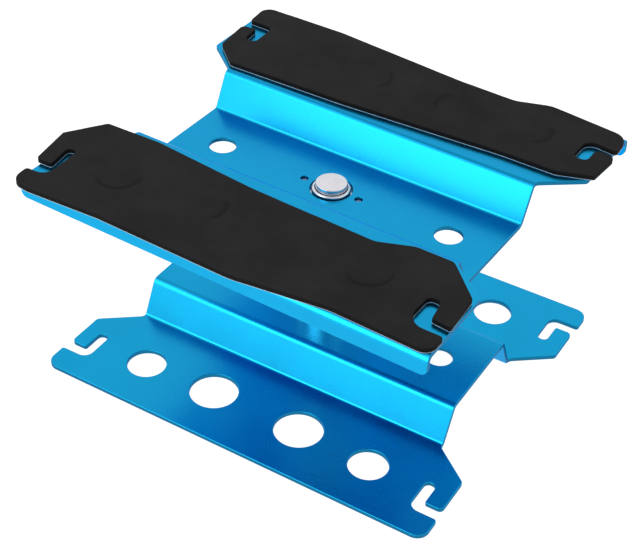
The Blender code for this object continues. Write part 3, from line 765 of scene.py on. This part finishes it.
def anodised_blue():
    """Bead blasted sheet with a clear dyed oxide: satin, with a fine grain; its cut walls are rougher and
    painted darker as shade.
    """
    made, tree, shader = new_material("anodised_blue", (0.0, 0.343, 0.635), 0.25, 1.0)
    grain_at = coordinates(tree)
    clouds = noise_node(tree, grain_at, 38, 3)
    blue = two_tone(tree, ranged(tree, clouds, 0, 1, 0.1, 0.9), (0.0, 0.328, 0.62), (0.0, 0.384, 0.715))
    cut_wall_and_shade = mesh_mark(tree, "cut_wall_and_shade")
    # Dark blue on the marked walls: painted shade.
    tree.links.new(two_tone(tree, cut_wall_and_shade, blue, (0.0, 0.15, 0.29)), shader.inputs["Base Color"])
    rough = combined(tree, "ADD", ranged(tree, clouds, 0.23, 0.31, 0.1, 0.9),
                     ranged(tree, cut_wall_and_shade, 0.0, 0.1))
    tree.links.new(rough, shader.inputs["Roughness"])
    shader.inputs["Specular Tint"].default_value = (0.05, 0.55, 0.85, 1)
    shader.inputs["Coat Weight"].default_value = 0.2
    shader.inputs["Coat Roughness"].default_value = 0.22
    shader.inputs["Coat IOR"].default_value = 1.5
    add_bump(tree, shader, noise_node(tree, grain_at, 5200, 2), 0.012 * MM, 0.5)
    return made


def black_foam():
    """Closed cell foam with a moulded skin: matt and mottled, with painted shade on its steep sides and in
    the grooves of its imprints.
    """
    made, tree, shader = new_material("black_foam", (0.015, 0.0145, 0.0155), 0.9)
    at = coordinates(tree)
    clouds = noise_node(tree, at, 55, 5, 0.6)
    mottled = two_tone(tree, ranged(tree, clouds, 0, 1, 0.3, 0.7), (0.012, 0.0118, 0.0128),
                       (0.0158, 0.0154, 0.0168))
    # Darker in the imprint grooves: painted shade.
    imprint_shade = ranged(tree, mesh_mark(tree, "imprint_shade"), 0.0, 0.9)
    top_tone = two_tone(tree, imprint_shade, mottled, (0.0065, 0.0065, 0.007))
    # Faces that tilt away from straight up get a near black: painted shade on the pad's steep sides.
    upward = split_axes(tree, tree.nodes.new("ShaderNodeNewGeometry").outputs["Normal"])["Z"]
    tone_with_side_shade = two_tone(tree, ranged(tree, upward, 0, 1, 0.3, 0.8), (0.004, 0.004, 0.0044), top_tone)
    tree.links.new(tone_with_side_shade, shader.inputs["Base Color"])
    tree.links.new(ranged(tree, clouds, 0.86, 0.74, 0.3, 0.7), shader.inputs["Roughness"])
    cells = tree.nodes.new("ShaderNodeTexVoronoi")
    cells.inputs["Scale"].default_value = 2600
    tree.links.new(at, cells.inputs["Vector"])
    skin = noise_node(tree, at, 1300, 5, 0.65)
    first = add_bump(tree, shader, skin, 0.05 * MM, 0.7)
    add_bump(tree, shader, cells.outputs["Distance"], 0.03 * MM, 0.5, first)
    shader.inputs["Specular IOR Level"].default_value = 0.1
    return made


def adhesive_film():
    """Pale double sided tape."""
    made, tree, shader = new_material("adhesive_film", (0.66, 0.76, 0.82), 0.4)
    at = coordinates(tree)
    clouds = noise_node(tree, at, 240, 4)
    colour = two_tone(tree, ranged(tree, clouds, 0, 1, 0.3, 0.7), (0.2, 0.32, 0.4), (0.34, 0.46, 0.53))
    tree.links.new(colour, shader.inputs["Base Color"])
    tree.links.new(ranged(tree, clouds, 0.3, 0.5, 0.3, 0.7), shader.inputs["Roughness"])
    add_bump(tree, shader, clouds, 0.05 * MM, 0.4)
    return made


def turned_metal(name, colour, roughness, depth=0.01 * MM):
    """Metal turned on a lathe: fine rings about the post's axis, with slightly uneven polish."""
    made, tree, shader = new_material(name, colour, roughness, 1.0)
    at = coordinates(tree)
    axes = split_axes(tree, at)
    squares = combined(tree, "ADD", combined(tree, "MULTIPLY", axes["X"], axes["X"]),
                       combined(tree, "MULTIPLY", axes["Y"], axes["Y"]))
    reach = combined(tree, "ADD", combined(tree, "SQRT", squares, 0.0), axes["Z"])
    rings = tree.nodes.new("ShaderNodeTexNoise")
    rings.noise_dimensions = "1D"
    rings.inputs["Scale"].default_value = 5200
    rings.inputs["Detail"].default_value = 3
    tree.links.new(reach, rings.inputs["W"])
    clouds = noise_node(tree, at, 180, 3)
    rough = combined(tree, "ADD", ranged(tree, clouds, roughness * 0.85, roughness * 1.15, 0.3, 0.7),
                     ranged(tree, rings.outputs["Fac"], -0.04, 0.04, 0.3, 0.7))
    tree.links.new(rough, shader.inputs["Roughness"])
    shade = two_tone(tree, ranged(tree, clouds, 0, 1, 0.3, 0.7), [c * 0.94 for c in colour],
                     [min(1.0, c * 1.04) for c in colour])
    tree.links.new(shade, shader.inputs["Base Color"])
    add_bump(tree, shader, rings.outputs["Fac"], depth, 0.5)
    return made


def plain_material(name, colour, roughness, metallic=0.0):
    """Moulded plastic or spring steel: mottled colour, uneven gloss and a fine grain."""
    made, tree, shader = new_material(name, colour, roughness, metallic)
    at = coordinates(tree)
    clouds = noise_node(tree, at, 120, 4)
    shade = two_tone(tree, ranged(tree, clouds, 0, 1, 0.3, 0.7), [c * 0.88 for c in colour],
                     [min(1.0, c * 1.08) for c in colour])
    tree.links.new(shade, shader.inputs["Base Color"])
    tree.links.new(ranged(tree, clouds, roughness * 0.85, roughness * 1.2, 0.3, 0.7),
                   shader.inputs["Roughness"])
    add_bump(tree, shader, noise_node(tree, at, 900, 3), 0.02 * MM, 0.5)
    return made


def dress(node, look):
    """Give a CAD node that is shown as it is its finished material."""
    shown = frame["nodes"][node]
    shown.data.materials.clear()
    shown.data.materials.append(look)


# ---------------------------------------------------------------- stage, light, camera

def floor():
    """A pale floor that glows, so that it stays white and even."""
    bpy.ops.mesh.primitive_plane_add(size=6, location=(0, 0, -0.0002))
    made = bpy.context.object
    made.name = "floor"
    look, _, shader = new_material("pale_floor", (0.2, 0.2, 0.2), 0.8)
    shader.inputs["Emission Color"].default_value = (1, 1, 1, 1)
    shader.inputs["Emission Strength"].default_value = 0.96
    made.data.materials.append(look)


def area_light(name, place, target, size, power, colour=(1, 1, 1)):
    data = bpy.data.lights.new(name, "AREA")
    data.shape = "RECTANGLE"
    data.size, data.size_y = size
    data.energy = power
    data.color = colour
    made = bpy.data.objects.new(name, data)
    made.location = place
    made.rotation_euler = (Vector(target) - Vector(place)).to_track_quat("-Z", "Y").to_euler()
    bpy.context.collection.objects.link(made)


def lighting():
    """White walls under a darker ceiling, with soft boxes in front."""
    world = bpy.data.worlds.new("studio")
    bpy.context.scene.world = world
    world.use_nodes = True
    tree = world.node_tree
    backdrop = tree.nodes["Background"]
    backdrop.inputs["Color"].default_value = (1, 1, 1, 1)
    upward = split_axes(tree, tree.nodes.new("ShaderNodeTexCoord").outputs["Generated"])["Z"]
    tree.links.new(ranged(tree, upward, 0.96, 0.5, 0.72, 0.95), backdrop.inputs["Strength"])
    area_light("front_box", (-0.13, -0.85, 0.36), (0, 0, 0.06), (0.95, 0.42), 2.75,
               (1.0, 0.98, 0.86))
    area_light("sweep_box", (-0.3, -0.75, 0.72), (0, 0, 0.06), (0.9, 0.24), 1.4)
    area_light("key_box", (-0.42, -0.45, 0.85), (0, 0, 0.08), (0.7, 0.7), 1.2)


def camera():
    """Seen from 31 degrees round from the front and 38 degrees up."""
    azimuth = math.radians(30.782)
    height = math.radians(38.066)
    roll = math.radians(1.755)
    distance = 637.87 * MM
    target = Vector((-15.78, -0.67, 35.86)) * MM
    away = Vector((math.sin(azimuth) * math.cos(height), -math.cos(azimuth) * math.cos(height),
                   math.sin(height)))
    data = bpy.data.cameras.new("camera")
    data.sensor_width = 36
    data.lens = 81.80
    data.shift_x = 0.0385
    data.shift_y = -0.0153
    data.clip_start = 0.01
    made = bpy.data.objects.new("camera", data)
    made.location = target + away * distance
    aim = (-away).to_track_quat("-Z", "Y").to_matrix()
    made.rotation_euler = (aim @ Matrix.Rotation(roll, 3, "Z")).to_euler()
    bpy.context.collection.objects.link(made)
    bpy.context.scene.camera = made


# ---------------------------------------------------------------- assembly

def main():
    camera()
    lighting()
    floor()
    bpy.context.scene.view_settings.view_transform = "Standard"
    looks = {
        "anodised_blue": anodised_blue(),
        "black_foam": black_foam(),
        "adhesive_film": adhesive_film(),
        "bright_steel": turned_metal("bright_steel", (0.74, 0.75, 0.78), 0.2),
        "turned_aluminium": turned_metal("turned_aluminium", (0.76, 0.75, 0.79), 0.24, depth=0.004 * MM),
        "brass": turned_metal("brass", (0.75, 0.58, 0.28), 0.28),
        "spring_steel": plain_material("spring_steel", (0.3, 0.3, 0.32), 0.35, 1.0),
        "bush_plastic": plain_material("bush_plastic", (0.8, 0.78, 0.72), 0.42),
    }
    for part in frame["record"]["subparts"]:
        dress(part["node"], looks[part["material_slot"]])
    base_plate(looks["anodised_blue"])
    top_plate(looks["anodised_blue"])
    pad("front", FRONT_PAD, FRONT_IMPRINTS, looks["black_foam"], looks["adhesive_film"])
    pad("rear", REAR_PAD, REAR_IMPRINTS, looks["black_foam"], looks["adhesive_film"])
    outer_tube(looks["bright_steel"])
    tube_fixings(looks["bright_steel"])
    guide_bush(looks["bush_plastic"])
    inner_tube(looks["bright_steel"])
    thrust_washer(looks["brass"])
    spindle(looks["bright_steel"])
    # The screws' steel is given a dark blue instead of bright grey: painted reflection of the blue plate
    # and painted shade in the screw holes.
    hub_screws(turned_metal("screw_steel_blue_shade", (0.3, 0.42, 0.6), 0.38))
    button(looks["turned_aluminium"])
    spring_coil(looks["spring_steel"])


main()
